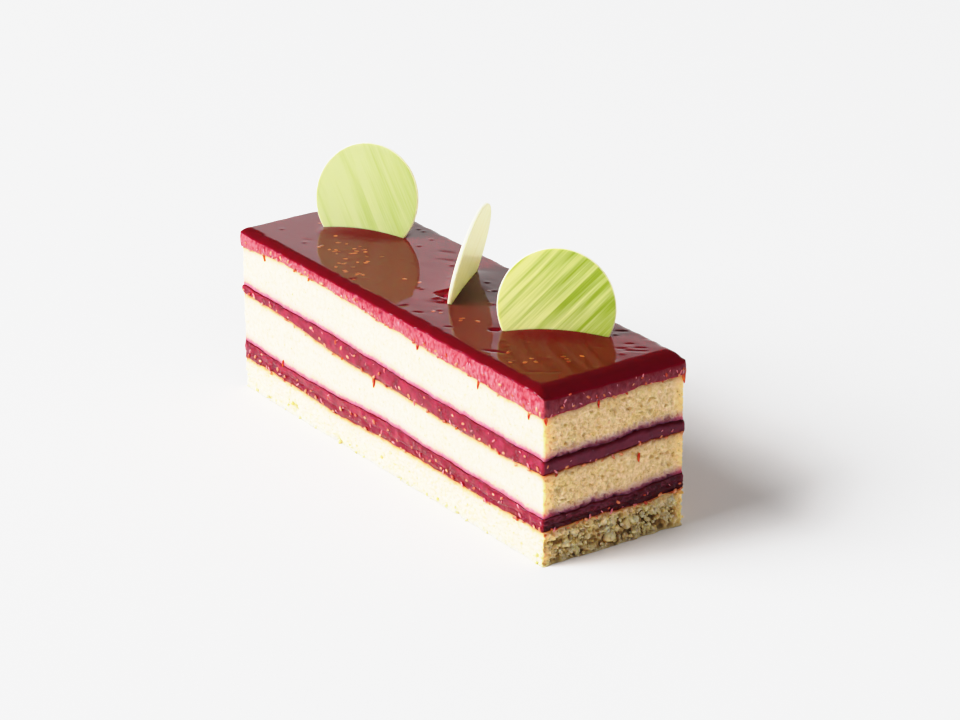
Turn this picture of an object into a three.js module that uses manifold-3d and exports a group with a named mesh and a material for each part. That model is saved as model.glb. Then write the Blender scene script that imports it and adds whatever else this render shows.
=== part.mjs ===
// A raspberry loaf cake: three layers of pale sponge with raspberry jam between them, a layer of clear raspberry
// jelly on top, and three thin discs of striped white chocolate pushed into the jelly on edge.
// Millimetres, +Z up. The origin is the middle of the underside and +X runs along the length.
// The near long side faces -Y. Every layer runs right through the cake, and its wavy faces follow its neighbours'.
import * as THREE from 'three';
import { mergeVertices } from 'three/addons/utils/BufferGeometryUtils.js';
import Module from 'manifold-3d';

const wasm = await Module();
wasm.setup();

// Driving dimensions
const LENGTH = 170;
const WIDTH = 51.8;
const JELLY_TOP = 55.5;
const CORNER_RADIUS = 1.2;
const LAYER_GAP = 0.02;

// Heights of the faces where two layers meet, read along the near side from the -X end to the +X end. On the far
// side each lies higher by the two rises, at the -X and the +X end, and waves with its crests shifted in radians.
const LEVELS = {
  baseTop: { near: [10.5, 10.4, 9.6, 10.6, 11.1, 10.8, 11.2], rises: [0.4, 0.6], wave: 0.4, shift: 0 },
  lowerJamTop: { near: [16.4, 15.2, 15.7, 16.8, 16.1, 15.8, 15.4], rises: [0.6, 1.4], wave: 0.5, shift: 0.6 },
  middleTop: { near: [33.0, 32.3, 29.8, 29.1, 28.6, 28.4, 28.9], rises: [-0.8, 1.8], wave: 0.5, shift: 2.4 },
  upperJamTop: { near: [35.9, 35.8, 35.9, 34.7, 34.1, 33.9, 33.8], rises: [-0.2, 1.3], wave: 0.5, shift: 2.8 },
  topSpongeTop: { near: [49.4, 51.3, 51.0, 49.7, 48.8, 47.9, 47.2], rises: [-0.6, 2.5], wave: 0.4, shift: 4 },
};
const WAVE_LENGTH = 57;

// The cut sides: sponge lies a little back from the jam, and the base is the crumbliest layer
const SPONGE_RECESS = 0.35;
const SPONGE_CRUMB = 0.4;
const BASE_CRUMB_SIDE = 0.7;
const BASE_CRUMB_END = 1.7;
const CRUMB_SIZE = 4.5;
const JAM_BULGE = 0.4;
const JAM_GROOVE = 0.35;
const JELLY_BULGE = 0.3;

// The jelly's rounded top edge: how far in it reaches and how far down it starts, on each side of the cake
const SHOULDER = {
  near: { width: 3.6, drop: 1.1 },
  far: { width: 3.0, drop: 1.8 },
  left: { width: 3.5, drop: 1.6 },
  right: { width: 7.0, drop: 2.4 },
};
const RIPPLE = 0.12;
const RIPPLE_LENGTH = 11;

// Chocolate discs: where each stands, how high its middle is over the jelly, which way its front faces
// and how far it leans back, in degrees
const DISC_DIAMETER = 36;
const DISC_THICKNESS = 1.3;
const DISC_EDGE_ROUND = 0.35;
const DISC_SIDES = 40;
const DISCS = {
  chocolate_disc_left: { x: -59.2, y: 7.1, above: 10.6, facing: -57.6, lean: 15.5 },
  chocolate_disc_middle: { x: 3.4, y: 4.4, above: 9.5, facing: 40.3, lean: -14.0 },
  chocolate_disc_right: { x: 48.4, y: 5.0, above: 7.6, facing: -44.4, lean: 11.1 },
};
const SLOT_CLEARANCE = 0.3;
const LIP = { halfLength: 13.5, halfWidth: 2.6, height: 1.5 };

// Raspberry seeds that stand out of the cut jam and jelly
const SEED = { length: 2.3, width: 1.5, depth: 1.1, sunk: 0.2 };
const SEEDS_IN_JAM = 26;
const SEEDS_IN_JELLY = 22;

// Mesh fineness
const STEPS_ALONG = 52;
const STEPS_ACROSS = 17;
const CAP_INSET = 5;
const RANDOM_SEED = 7;

const SPONGE = { color: 0xf6e6bd, roughness: 0.95, metalness: 0 };
const JAM = { color: 0xb3203c, roughness: 0.3, metalness: 0 };
const JELLY = { color: 0x9c0f25, roughness: 0.08, metalness: 0 };
const CHOCOLATE = { color: 0xd3dc86, roughness: 0.4, metalness: 0 };

const lerp = THREE.MathUtils.lerp;
const radians = THREE.MathUtils.degToRad;

// A repeatable random number from 0 to 1 for each call
function randomNumbers(seed) {
  let state = seed;
  return () => {
    state = (state + 0x6d2b79f5) | 0;
    let t = Math.imul(state ^ (state >>> 15), 1 | state);
    t = (t + Math.imul(t ^ (t >>> 7), 61 | t)) ^ t;
    return ((t ^ (t >>> 14)) >>> 0) / 2 ** 32;
  };
}

// A repeatable random number from 0 to 1 for each cell of a grid
function cellValue(i, j, k) {
  const mixed = Math.imul(i, 374761393) ^ Math.imul(j, 668265263) ^ Math.imul(k, 1440662683);
  return randomNumbers(mixed)();
}

// Smooth bumps from 0 to 1, about `size` millimetres across
function bumps(x, y, z, size) {
  const cell = [x, y, z].map((v) => Math.floor(v / size));
  const part = [x, y, z].map((v, n) => THREE.MathUtils.smoothstep(v / size - cell[n], 0, 1));
  let sum = 0;
  for (let corner = 0; corner < 8; corner++) {
    const step = [corner & 1, (corner >> 1) & 1, corner >> 2];
    const weight = step.reduce((w, s, n) => w * (s ? part[n] : 1 - part[n]), 1);
    sum += weight * cellValue(cell[0] + step[0], cell[1] + step[1], cell[2] + step[2]);
  }
  return sum;
}

// The smooth curve through evenly spaced values, at t from 0 to 1
function curveThrough(values, t) {
  const last = values.length - 1;
  const place = THREE.MathUtils.clamp(t, 0, 1) * last;
  const i = Math.min(Math.floor(place), last - 1);
  const f = place - i;
  const [a, b, c, d] = [i - 1, i, i + 1, i + 2].map((n) => values[THREE.MathUtils.clamp(n, 0, last)]);
  return b + 0.5 * f * (c - a + f * (2 * a - 5 * b + 4 * c - d + f * (3 * (b - c) + d - a)));
}

function levelHeight(level, x, y) {
  const [along, across] = [x / LENGTH + 0.5, y / WIDTH + 0.5];
  const wave = level.wave * Math.sin((2 * Math.PI * (x + 1.7 * y)) / WAVE_LENGTH + level.shift);
  return curveThrough(level.near, along) + across * (lerp(...level.rises, along) + wave);
}

// The cake's outline seen from above, counterclockwise, with the outward direction at each point
function outline() {
  const points = [];
  const halfL = LENGTH / 2 - CORNER_RADIUS;
  const halfW = WIDTH / 2 - CORNER_RADIUS;
  const corners = [[halfL, -halfW], [halfL, halfW], [-halfL, halfW], [-halfL, -halfW]];
  corners.forEach(([cx, cy], side) => {
    const out = new THREE.Vector2(Math.cos((side * Math.PI) / 2), Math.sin((side * Math.PI) / 2));
    const diagonal = new THREE.Vector2(Math.cos((side - 0.5) * (Math.PI / 2)), Math.sin((side - 0.5) * (Math.PI / 2)));
    points.push({ x: cx + CORNER_RADIUS * diagonal.x, y: cy + CORNER_RADIUS * diagonal.y, out: diagonal });
    const [nx, ny] = corners[(side + 1) % corners.length];
    const steps = side % 2 ? STEPS_ALONG : STEPS_ACROSS;
    for (let i = 0; i < steps; i++) {
      const f = i / (steps - 1);
      points.push({
        x: lerp(cx, nx, f) + CORNER_RADIUS * out.x,
        y: lerp(cy, ny, f) + CORNER_RADIUS * out.y,
        out,
      });
    }
  });
  return points;
}

// How far round a box a point is, counterclockwise from its +X -Y corner, with 1 for each side
function placeRound({ x, y }, box) {
  const middle = box.getCenter(new THREE.Vector2());
  const half = box.getSize(new THREE.Vector2()).multiplyScalar(0.5);
  const [u, v] = [(x - middle.x) / half.x, (y - middle.y) / half.y];
  if (Math.abs(u) >= Math.abs(v)) return u > 0 ? (v + 1) / 2 : 2.5 - v / 2;
  return v > 0 ? 1.5 - u / 2 : 3.5 + u / 2;
}

// Triangles that fill a ring of points seen from above: a band from the ring to a grid inside it, and the grid.
// Points 0 to ring.length - 1 are the ring, and the grid's points follow.
function fillRing(ring, cellsX, cellsY) {
  const flat = (p) => new THREE.Vector2(p.x, p.y);
  const outerBox = new THREE.Box2().setFromPoints(ring.map(flat));
  const box = outerBox.clone().expandByScalar(-CAP_INSET);
  const inner = [];
  for (let j = 0; j <= cellsY; j++) {
    for (let i = 0; i <= cellsX; i++) {
      inner.push({ x: lerp(box.min.x, box.max.x, i / cellsX), y: lerp(box.min.y, box.max.y, j / cellsY) });
    }
  }
  const at = (i, j) => ring.length + j * (cellsX + 1) + i;
  const edge = [];
  for (let j = 0; j < cellsY; j++) edge.push({ point: at(cellsX, j), place: j / cellsY });
  for (let i = cellsX; i > 0; i--) edge.push({ point: at(i, cellsY), place: 2 - i / cellsX });
  for (let j = cellsY; j > 0; j--) edge.push({ point: at(0, j), place: 3 - j / cellsY });
  for (let i = 0; i < cellsX; i++) edge.push({ point: at(i, 0), place: 3 + i / cellsX });
  edge.push({ point: edge[0].point, place: 4 });
  const rim = ring.map((p, n) => ({ point: n, place: n === 0 ? 0 : placeRound(p, outerBox) }));
  rim.push({ point: 0, place: 4 });
  const triangles = [];
  for (let i = 0, j = 0; i + 1 < rim.length || j + 1 < edge.length;) {
    const rimNext = i + 1 < rim.length && (j + 1 >= edge.length || rim[i + 1].place <= edge[j + 1].place);
    const next = rimNext ? rim[i + 1].point : edge[j + 1].point;
    triangles.push([rim[i].point, next, edge[j].point]);
    if (rimNext) i++;
    else j++;
  }
  for (let j = 0; j < cellsY; j++) {
    for (let i = 0; i < cellsX; i++) {
      const [a, b, c, d] = [at(i, j), at(i + 1, j), at(i + 1, j + 1), at(i, j + 1)];
      triangles.push([a, b, c], [a, c, d]);
    }
  }
  return { inner, triangles };
}

// A closed solid from rings of points stacked upwards, closed below and above by filled rings
function stackRings(rings, fillBelow, fillAbove, heightBelow, heightAbove) {
  const count = rings[0].length;
  const points = rings.flat();
  const triangles = [];
  for (let r = 0; r + 1 < rings.length; r++) {
    for (let i = 0; i < count; i++) {
      const [a, b] = [r * count + i, r * count + ((i + 1) % count)];
      triangles.push([a, b, b + count], [a, b + count, a + count]);
    }
  }
  const close = (fill, height, firstOfRing, flip) => {
    const firstInner = points.length;
    points.push(...fill.inner.map(({ x, y }) => ({ x, y, z: height(x, y) })));
    const number = (n) => (n < count ? firstOfRing + n : firstInner + n - count);
    for (const [a, b, c] of fill.triangles) {
      triangles.push((flip ? [a, c, b] : [a, b, c]).map(number));
    }
  };
  close(fillBelow, heightBelow, 0, true);
  close(fillAbove, heightAbove, (rings.length - 1) * count, false);
  const geometry = new THREE.BufferGeometry();
  geometry.setAttribute('position', new THREE.Float32BufferAttribute(points.flatMap((p) => [p.x, p.y, p.z]), 3));
  geometry.setIndex(triangles.flat());
  return geometry;
}

function toManifold(geometry) {
  const bare = geometry.clone();
  bare.deleteAttribute('normal');
  bare.deleteAttribute('uv');
  const merged = mergeVertices(bare, 1e-4);
  return new wasm.Manifold(new wasm.Mesh({
    numProp: 3,
    vertProperties: new Float32Array(merged.attributes.position.array),
    triVerts: new Uint32Array(merged.index.array),
  }));
}

function fromManifold(solid) {
  const { vertProperties, triVerts } = solid.getMesh();
  const geometry = new THREE.BufferGeometry();
  geometry.setAttribute('position', new THREE.BufferAttribute(vertProperties, 3));
  geometry.setIndex(new THREE.BufferAttribute(triVerts, 1));
  geometry.computeVertexNormals();
  return geometry;
}

const RING = outline();
const LAYER_FILL = fillRing(RING, 8, 2);

// One layer between two levels. `rows` are the heights between them, as fractions, that the side has points at,
// and relief(p, z, t) says how far the side stands out there.
function layer(bottomHeight, topHeight, rows, relief) {
  const rings = [0, ...rows, 1].map((t) => RING.map((p) => {
    const z = lerp(bottomHeight(p.x, p.y), topHeight(p.x, p.y), t);
    const stand = relief(p, z, t);
    return { x: p.x + p.out.x * stand, y: p.y + p.out.y * stand, z };
  }));
  return stackRings(rings, LAYER_FILL, LAYER_FILL, bottomHeight, topHeight);
}

const heightOf = (level, gap = 0) => (x, y) => levelHeight(level, x, y) + gap;

function spongeSide(p, z, t) {
  if (t === 0 || t === 1) return 0;
  return -SPONGE_RECESS - SPONGE_CRUMB * bumps(p.x, p.y, z, CRUMB_SIZE);
}

// The base crumbles most at the ends and towards the underside
function baseSide(p, z, t) {
  if (t === 1) return 0;
  const crumb = lerp(BASE_CRUMB_SIDE, BASE_CRUMB_END, Math.abs(p.out.x));
  return -crumb * bumps(p.x, p.y, z, CRUMB_SIZE);
}

function jamSide(p, z, t) {
  if (t === 0 || t === 1) return 0;
  return (t < 0.5 ? -JAM_GROOVE : JAM_BULGE) * (0.6 + 0.4 * bumps(p.x, p.y, z, CRUMB_SIZE));
}

// Where a point lies between the ends and between the long sides decides which edges of the jelly it is near
function shoulderPoint(p, inward) {
  const x = lerp(p.x, lerp(-LENGTH / 2 + SHOULDER.left.width, LENGTH / 2 - SHOULDER.right.width, p.x / LENGTH + 0.5), inward);
  const y = lerp(p.y, lerp(-WIDTH / 2 + SHOULDER.near.width, WIDTH / 2 - SHOULDER.far.width, p.y / WIDTH + 0.5), inward);
  return { x, y };
}

function shoulderDrop(p) {
  const end = p.out.x > 0 ? SHOULDER.right.drop : SHOULDER.left.drop;
  const side = p.out.y > 0 ? SHOULDER.far.drop : SHOULDER.near.drop;
  return lerp(side, end, Math.abs(p.out.x));
}

function jellyHeight(x, y) {
  return JELLY_TOP + RIPPLE * (2 * bumps(x, y, 0, RIPPLE_LENGTH) - 1);
}

function jellyBody() {
  const bottom = heightOf(LEVELS.topSpongeTop, LAYER_GAP);
  const wallTop = (p) => JELLY_TOP - shoulderDrop(p);
  const wall = [0, 0.3, 0.75, 1].map((t) => RING.map((p) => {
    const stand = JELLY_BULGE * Math.sin(Math.PI * t);
    return { x: p.x + p.out.x * stand, y: p.y + p.out.y * stand, z: lerp(bottom(p.x, p.y), wallTop(p), t) };
  }));
  const shoulder = [0.3, 0.65, 1].map((inward) => RING.map((p) => {
    const { x, y } = shoulderPoint(p, inward);
    return { x, y, z: lerp(wallTop(p), jellyHeight(x, y), Math.sin((inward * Math.PI) / 2)) };
  }));
  const topFill = fillRing(shoulder.at(-1), 20, 6);
  return stackRings([...wall, ...shoulder], LAYER_FILL, topFill, bottom, jellyHeight);
}

// A disc lies in its own x-z plane with a rounded rim, and `grow` makes it larger all round for cutting its slot
function discGeometry(grow = 0) {
  const radius = DISC_DIAMETER / 2 + grow;
  const half = DISC_THICKNESS / 2 + grow;
  const profile = [
    [0, -half],
    [radius - DISC_EDGE_ROUND, -half],
    [radius, -half + DISC_EDGE_ROUND],
    [radius, half - DISC_EDGE_ROUND],
    [radius - DISC_EDGE_ROUND, half],
    [0, half],
  ];
  return new THREE.LatheGeometry(profile.map(([r, h]) => new THREE.Vector2(r, h)), DISC_SIDES);
}

function discFacing({ facing, lean }) {
  const level = Math.cos(radians(lean));
  const front = [level * Math.cos(radians(facing)), level * Math.sin(radians(facing)), Math.sin(radians(lean))];
  return new THREE.Vector3(...front);
}

function discPlace(disc) {
  const turn = new THREE.Quaternion().setFromUnitVectors(new THREE.Vector3(0, 1, 0), discFacing(disc));
  return new THREE.Matrix4().compose(
    new THREE.Vector3(disc.x, disc.y, JELLY_TOP + disc.above), turn, new THREE.Vector3(1, 1, 1));
}

// The low mound of jelly that a disc pushes up along the line where it goes in
function lipMound(disc) {
  const front = discFacing(disc);
  const back = disc.above * front.z / Math.hypot(front.x, front.y) ** 2;
  const mound = new THREE.SphereGeometry(1, 14, 6);
  mound.scale(LIP.halfLength, LIP.halfWidth, LIP.height);
  mound.rotateZ(radians(disc.facing + 90));
  mound.translate(disc.x + front.x * back, disc.y + front.y * back, JELLY_TOP);
  return toManifold(mound);
}

// Seeds set into the side between two heights, spread round the whole cake
function withSeeds(solid, count, bottomHeight, topHeight, random) {
  let result = solid;
  for (let i = 0; i < count; i++) {
    const p = RING[Math.floor(((i + 0.3 + 0.4 * random()) / count) * RING.length)];
    const height = lerp(bottomHeight(p.x, p.y), topHeight(p.x, p.y), lerp(0.42, 0.58, random()));
    const seed = new THREE.IcosahedronGeometry(1, 0);
    seed.scale(SEED.length / 2, SEED.width / 2, SEED.depth / 2);
    seed.rotateZ(Math.PI * lerp(-0.2, 0.2, random()));
    seed.rotateX(Math.PI / 2);
    seed.rotateZ(Math.atan2(p.out.y, p.out.x) + Math.PI / 2);
    seed.translate(p.x - p.out.x * SEED.sunk, p.y - p.out.y * SEED.sunk, height);
    result = result.add(toManifold(seed));
  }
  return result;
}

function named(name, geometry, finish) {
  const mesh = new THREE.Mesh(geometry, new THREE.MeshStandardMaterial(finish));
  mesh.name = name;
  return mesh;
}

const cake = new THREE.Group();
const random = randomNumbers(RANDOM_SEED);
const slots = Object.values(DISCS).map((disc) => toManifold(discGeometry(SLOT_CLEARANCE).applyMatrix4(discPlace(disc))));
const cutSlots = (solid) => slots.reduce((left, slot) => left.subtract(slot), solid);

// Sponge base, 10 mm thick, flat underneath
const flatBottom = () => 0;
const base = layer(flatBottom, heightOf(LEVELS.baseTop), [0.25, 0.5, 0.78], baseSide);
cake.add(named('sponge_base', base, SPONGE));

// Lower jam, with the groove of a drawn knife along its side
const lowerJam = layer(
  heightOf(LEVELS.baseTop, LAYER_GAP), heightOf(LEVELS.lowerJamTop), [0.35, 0.62], jamSide);
cake.add(named('jam_lower', fromManifold(withSeeds(
  toManifold(lowerJam), SEEDS_IN_JAM, heightOf(LEVELS.baseTop), heightOf(LEVELS.lowerJamTop), random)), JAM));

// Middle sponge
const middle = layer(
  heightOf(LEVELS.lowerJamTop, LAYER_GAP), heightOf(LEVELS.middleTop), [0.2, 0.5, 0.8], spongeSide);
cake.add(named('sponge_middle', middle, SPONGE));

// Upper jam
const upperJam = layer(
  heightOf(LEVELS.middleTop, LAYER_GAP), heightOf(LEVELS.upperJamTop), [0.55], jamSide);
cake.add(named('jam_upper', fromManifold(withSeeds(
  toManifold(upperJam), SEEDS_IN_JAM, heightOf(LEVELS.middleTop), heightOf(LEVELS.upperJamTop), random)), JAM));

// Top sponge, which the lowest part of each disc just reaches
const topSponge = layer(
  heightOf(LEVELS.upperJamTop, LAYER_GAP), heightOf(LEVELS.topSpongeTop), [0.2, 0.5, 0.8], spongeSide);
cake.add(named('sponge_top', fromManifold(cutSlots(toManifold(topSponge))), SPONGE));

// Jelly, with a lip along each disc
const jellyWithLips = Object.values(DISCS).reduce((solid, disc) => solid.add(lipMound(disc)), toManifold(jellyBody()));
const jellyWallTop = () => JELLY_TOP - SHOULDER.right.drop;
cake.add(named('jelly_top', fromManifold(withSeeds(
  cutSlots(jellyWithLips), SEEDS_IN_JELLY, heightOf(LEVELS.topSpongeTop), jellyWallTop, random)), JELLY));

// Chocolate discs
for (const [name, disc] of Object.entries(DISCS)) {
  const mesh = named(name, discGeometry(), CHOCOLATE);
  mesh.applyMatrix4(discPlace(disc));
  cake.add(mesh);
}

export default cake;
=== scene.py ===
# A raspberry loaf cake: pale sponge in three layers, raspberry jam between them, clear raspberry jelly on
# top and three thin discs of striped white chocolate standing in the jelly. Lengths are in millimetres
# unless a name says otherwise, and every piece is made in place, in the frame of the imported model.
import math
import random

import bmesh
import bpy
import numpy as np
from mathutils import Matrix, Vector


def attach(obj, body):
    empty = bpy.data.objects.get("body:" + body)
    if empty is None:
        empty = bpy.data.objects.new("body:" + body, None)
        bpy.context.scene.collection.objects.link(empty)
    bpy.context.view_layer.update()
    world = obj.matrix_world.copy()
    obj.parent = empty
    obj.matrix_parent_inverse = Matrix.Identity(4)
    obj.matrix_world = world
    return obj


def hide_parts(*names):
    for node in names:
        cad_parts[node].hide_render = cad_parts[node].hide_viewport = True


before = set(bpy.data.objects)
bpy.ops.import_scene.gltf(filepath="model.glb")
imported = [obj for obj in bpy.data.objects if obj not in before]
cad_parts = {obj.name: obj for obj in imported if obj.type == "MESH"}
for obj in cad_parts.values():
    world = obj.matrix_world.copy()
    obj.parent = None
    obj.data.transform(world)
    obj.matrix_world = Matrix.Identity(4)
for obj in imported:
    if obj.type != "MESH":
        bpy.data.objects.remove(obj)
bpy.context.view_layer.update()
random.seed(11)
MM = 0.001


# ----------------------------------------------------------------------
# Camera: a long lens, a little above the cake and off its front right corner.
CAMERA_PLACE = Vector((797.89, -533.62, 424.22)) * MM
CAMERA_TURN = math.radians(145.72)
CAMERA_DOWN = math.radians(22.27)
CAMERA_TILT = math.radians(-0.48)
SENSOR_WIDTH, LENS = 36, 124.93

bpy.ops.object.camera_add()
camera = bpy.context.object
camera.matrix_world = (
    Matrix.Translation(CAMERA_PLACE)
    @ Matrix.Rotation(CAMERA_TURN - math.pi / 2, 4, "Z")
    @ Matrix.Rotation(math.pi / 2 - CAMERA_DOWN, 4, "X")
    @ Matrix.Rotation(CAMERA_TILT, 4, "Z")
)
camera.data.sensor_width = SENSOR_WIDTH
camera.data.lens = LENS
bpy.context.scene.camera = camera


# ----------------------------------------------------------------------
# Daylight: a broad window to the front left, a weak one high on the right that picks out the crumb of the
# end, and behind the cake a bright wall with a dim room above it. The jelly mirrors that wall. The tone
# curve deepens the darks a little and rolls the highlights off, as film does.
WINDOW_TOWARDS = Vector((-0.341, -0.766, 0.545))
SKYLIGHT_TOWARDS = Vector((0.80, -0.10, 0.59))
WINDOW_DISTANCE = 4
WINDOW_SIZE, SKYLIGHT_SIZE = 3.8, 1.6
WINDOW_WATTS, SKYLIGHT_WATTS = 490, 28
ROOM_BRIGHTNESS = 0.24
WALL_TOWARDS = (-0.826, 0.563, 0)
WALL_BRIGHTNESS = 1.75
ABOVE_WALL_BRIGHTNESS = 0.2
# How high a direction points where the wall ends, and how far it points to the wall where the wall begins.
WALL_TOP, WALL_EDGE = (0.36, 0.45), (0.5, 0.8)
WINDOW_LIGHT, ROOM_LIGHT = "#FAFCFF", "#FFF9F8"
BRIGHTEST = 3
# Brightness in the scene, up to the brightest, and how bright it is shown.
TONES = [
    (0, 0), (0.05, 0.03), (0.15, 0.135), (0.3, 0.3), (0.6, 0.585), (0.8, 0.755), (1, 0.85), (1.65, 0.93),
    (2.25, 0.975), (3, 1)]


def linear(colour):
    """A colour such as "#F9E4B5" as the linear red, green, blue and alpha of a colour socket."""
    parts = [int(colour[i : i + 2], 16) / 255 for i in (1, 3, 5)]
    return [p / 12.92 if p <= 0.04045 else ((p + 0.055) / 1.055) ** 2.4 for p in parts] + [1]


def plug(tree, node, sockets):
    """Gives each socket of a node, by name or number, a value or another node's output."""
    for name, value in sockets.items():
        if isinstance(value, bpy.types.NodeSocket):
            tree.links.new(value, node.inputs[name])
        else:
            node.inputs[name].default_value = value


def add_node(tree, kind, sockets=None, **settings):
    """Adds a shader node of that kind with its settings, and plugs its sockets."""
    node = tree.nodes.new("ShaderNode" + kind)
    for name, value in settings.items():
        setattr(node, name, value)
    plug(tree, node, sockets or {})
    return node


world = bpy.data.worlds.new("daylit_room")
world.use_nodes = True
bpy.context.scene.world = world
room = world.node_tree
room.nodes.clear()
direction = add_node(room, "TexCoord").outputs["Generated"]
height = add_node(room, "SeparateXYZ", {0: direction}).outputs["Z"]
wall = add_node(room, "MapRange", {
    "Value": height, "From Min": WALL_TOP[0], "From Max": WALL_TOP[1],
    "To Min": WALL_BRIGHTNESS, "To Max": ABOVE_WALL_BRIGHTNESS}).outputs["Result"]
behind = add_node(room, "VectorMath", {0: direction, 1: WALL_TOWARDS}, operation="DOT_PRODUCT")
on_wall = add_node(room, "MapRange", {
    "Value": behind.outputs["Value"], "From Min": WALL_EDGE[0], "From Max": WALL_EDGE[1]},
    interpolation_type="SMOOTHSTEP")
brightness = add_node(room, "Mix", {0: on_wall.outputs["Result"], 2: ROOM_BRIGHTNESS, 3: wall})
background = add_node(room, "Background", {
    "Color": linear(ROOM_LIGHT), "Strength": brightness.outputs[0]})
add_node(room, "OutputWorld", {"Surface": background.outputs[0]})

for towards, size, watts in [
    (WINDOW_TOWARDS, WINDOW_SIZE, WINDOW_WATTS), (SKYLIGHT_TOWARDS, SKYLIGHT_SIZE, SKYLIGHT_WATTS)]:
    bpy.ops.object.light_add(type="AREA", location=towards * WINDOW_DISTANCE)
    window = bpy.context.object
    window.rotation_euler = towards.to_track_quat("Z", "Y").to_euler()
    window.data.shape = "DISK"
    window.data.size = size
    window.data.energy = watts
    window.data.color = linear(WINDOW_LIGHT)[:3]

tone = bpy.context.scene.view_settings
tone.view_transform = "Standard"
tone.use_curve_mapping = True
tone.curve_mapping.white_level = (BRIGHTEST,) * 3
tone_points = tone.curve_mapping.curves[3].points
for scene_light, _ in TONES[1:-1]:
    tone_points.new(scene_light / BRIGHTEST, 0)
for point, (scene_light, shown) in zip(tone_points, TONES):
    point.location = (scene_light / BRIGHTEST, shown)
tone.curve_mapping.update()


# ----------------------------------------------------------------------
# Floor: a plain pale table top, matt, that runs on far behind the cake.
FLOOR_REACH = 6

bpy.ops.mesh.primitive_plane_add(size=2 * FLOOR_REACH, location=(0, 0, 0))
floor = bpy.context.object
floor.name = "floor"


def new_material(name):
    """A material, its tree of nodes and its shader."""
    material = bpy.data.materials.new(name)
    material.use_nodes = True
    return material, material.node_tree, material.node_tree.nodes["Principled BSDF"]


# White paint, matt: it takes a soft shadow and mirrors nothing.
white_table, tree, shader = new_material("matt_white_table")
plug(tree, shader, {"Base Color": linear("#E9E9E8"), "Roughness": 0.8, "Specular IOR Level": 0})
floor.data.materials.append(white_table)


# ----------------------------------------------------------------------
# Sponge base: the bottom layer, about 10 mm of butter sponge baked in a sheet and cut with a long knife.
# Its long sides are cut clean but for a few bites at the foot of the near one. Its ends have torn into
# crumbs and gaps, most of all near the table.
LENGTH, WIDTH, CORNER = 170, 51.8, 1.2
WAVE_LENGTH = 57
RAGGED_EDGE, RAGGED_GRAINS = 0.3, (4.5, 1.6)
EDGE_KEPT_CLEAN = 0.7
# Parts that the block's edges are cut into: twice along the length, twice along the width, and in height.
SPONGE_COLUMNS = (17, 20, 12, 20)
SPONGE_ROWS = 52
CAP_RING = 1.5
# A painted yellow glow on the ends near the long sides, for light that comes through the corner: how far in
# mm it reaches and how strong it is.
GLOW_FROM_CORNER, GLOW_SHARE = 5, 0.85
BASE_CRUMB_SIDE, BASE_CRUMB_END = 0.5, 1.2
CRUMB_SIZE = 3.6
FAR_FROM_JAM = 50
# The share of the base's height below which its ends are torn, and how far from a corner in full.
TORN_UP_TO, TORN_FROM_CORNER = 0.86, 5
# Bites out of the near side: middle x and z, half width and half height.
BITES = [
    (-53, 2.8, 1.3, 1.4), (-28, 0.8, 1.6, 1.5), (-70, 0.4, 1, 0.9), (8, 0.3, 1.4, 0.8), (40, 0.3, 1.2, 0.9)]
BITE_DEPTH = 2.4
# Large primes that pick a random value for each cell of the bumps out of that many.
PRIMES, RANDOM_VALUES = np.array([73856093, 19349663, 83492791]), 8192


def bumps(x, y, z, size, seed=0):
    """Smooth random bumps from 0 to 1, about `size` across."""
    place = np.stack([np.asarray(v, float) + np.zeros_like(x) for v in (x, y, z)], -1) / size
    cell = np.floor(place).astype(np.int64)
    part = place - cell
    part = part * part * (3 - 2 * part)
    values = np.random.RandomState(seed).rand(RANDOM_VALUES)
    total = np.zeros(len(place))
    for corner in np.ndindex(2, 2, 2):
        weight = np.prod(np.where(corner, part, 1 - part), axis=1)
        picked = np.bitwise_xor.reduce((cell + corner) * PRIMES, axis=1) % RANDOM_VALUES
        total += weight * values[picked]
    return total


def curve_through(heights, along):
    """The smooth curve through evenly spaced heights, at places from 0 to 1 along them."""
    last = len(heights) - 1
    place = np.clip(along, 0, 1) * last
    i = np.minimum(place.astype(int), last - 1)
    f = place - i
    a, b, c, d = (np.take(heights, np.clip(i + n, 0, last)) for n in (-1, 0, 1, 2))
    return b + 0.5 * f * (c - a + f * (2 * a - 5 * b + 4 * c - d + f * (3 * (b - c) + d - a)))


def level(near, rises, wave, shift):
    """The height of the face between two layers: read along the near side from the left end to the right end,
    higher on the far side by the rises at each end, wavy, and ragged where the knife went through."""
    def height(x, y):
        along, across = x / LENGTH + 0.5, y / WIDTH + 0.5
        rise = rises[0] + (rises[1] - rises[0]) * along
        crest = wave * np.sin(2 * math.pi * (x + 1.7 * y) / WAVE_LENGTH + shift)
        coarse = bumps(x, y, 0, RAGGED_GRAINS[0], seed=int(10 * shift)) - 0.5
        fine = bumps(x, y, 0, RAGGED_GRAINS[1], seed=int(10 * shift) + 1) - 0.5
        return curve_through(near, along) + across * (rise + crest) + RAGGED_EDGE * (2 * coarse + fine)
    return height


def select_edges(piece, wanted):
    """In edit mode, selects only the edges for which wanted(first end, direction, edge) is true."""
    bpy.ops.mesh.select_all(action="DESELECT")
    bpy.ops.mesh.select_mode(type="EDGE")
    mesh = bmesh.from_edit_mesh(piece.data)
    for edge in mesh.edges:
        start, end = (v.co for v in edge.verts)
        if wanted(start, (end - start).normalized(), edge):
            edge.select_set(True)
    bmesh.update_edit_mesh(piece.data)


def select_faces(piece, wanted):
    """In edit mode, selects only the faces for which wanted(face) is true."""
    bpy.ops.mesh.select_all(action="DESELECT")
    bpy.ops.mesh.select_mode(type="FACE")
    mesh = bmesh.from_edit_mesh(piece.data)
    mesh.normal_update()
    for face in mesh.faces:
        face.select_set(wanted(face))
    bmesh.update_edit_mesh(piece.data)


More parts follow.
